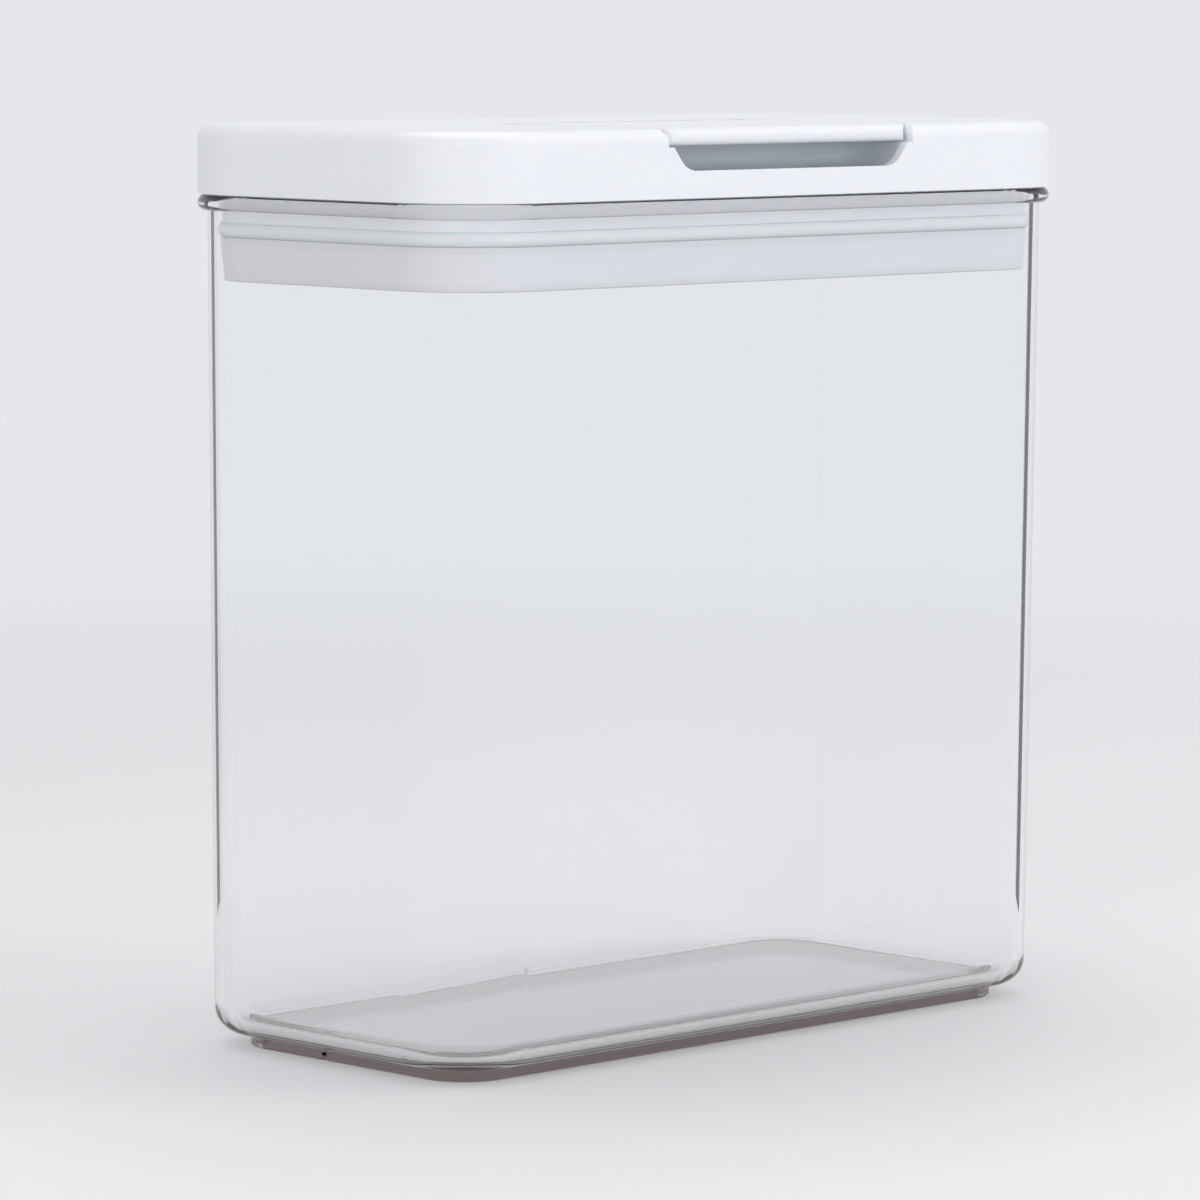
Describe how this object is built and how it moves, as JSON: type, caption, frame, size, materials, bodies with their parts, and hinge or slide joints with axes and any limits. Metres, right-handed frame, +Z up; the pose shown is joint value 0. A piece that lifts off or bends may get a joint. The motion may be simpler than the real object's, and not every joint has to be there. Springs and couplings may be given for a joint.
{
  "type": "storage container",
  "caption": "Clear tall rectangular dry-food canister with a white lid whose flip-up lever works an airtight plug seal",
  "frame": {"origin": "middle of the foot ring's underside, on the surface that the canister stands on", "axes": "+Z up, X along the long side, -Y to the front with the finger cut-out"},
  "size_m": [0.225, 0.11, 0.2287],
  "materials": {
    "clear_wall": "polished clear copolyester",
    "lid_white": "satin-gloss white ABS",
    "tray_grey": "satin pale grey ABS",
    "base_white": "satin white polypropylene",
    "plug_frosted": "translucent frosted polypropylene",
    "silicone": "translucent white silicone",
    "post_white": "white acetal",
    "steel": "bright stainless steel"
  },
  "bodies": {
    "canister": {"canister_body": "clear_wall"},
    "lid": {"lid_cover": "lid_white", "lever_tray": "tray_grey", "lid_base": "base_white", "cover_screws": "steel", "gasket": "silicone", "return_spring_left": "steel", "return_spring_right": "steel"},
    "plug": {"seal_plate": "plug_frosted", "plug_cup": "plug_frosted", "draw_post_left": "post_white", "draw_post_right": "post_white", "post_screws": "steel", "screw_caps": "silicone"},
    "lever": {"flip_lever": "lid_white", "hinge_pin_left": "steel", "hinge_pin_right": "steel"}
  },
  "joints": [
    {"name": "lid_lift", "type": "slide", "parent": "canister", "child": "lid", "axis": [0, 0, 1], "range_m": [0, 0.08]},
    {"name": "plug_drop", "type": "slide", "parent": "lid", "child": "plug", "axis": [0, 0, -1], "range_m": [0, 0.002], "deforming": ["gasket", "return_spring_left", "return_spring_right"]},
    {"name": "lever_flip", "type": "hinge", "parent": "plug", "child": "lever", "pos_m": [0, 0, 0.2229], "axis": [-1, 0, 0], "range_deg": [0, 90]}
  ],
  "couplings": [
    {"joint": "plug_drop", "follows": "lever_flip", "m_per_rad": 0.0012732}
  ]
}
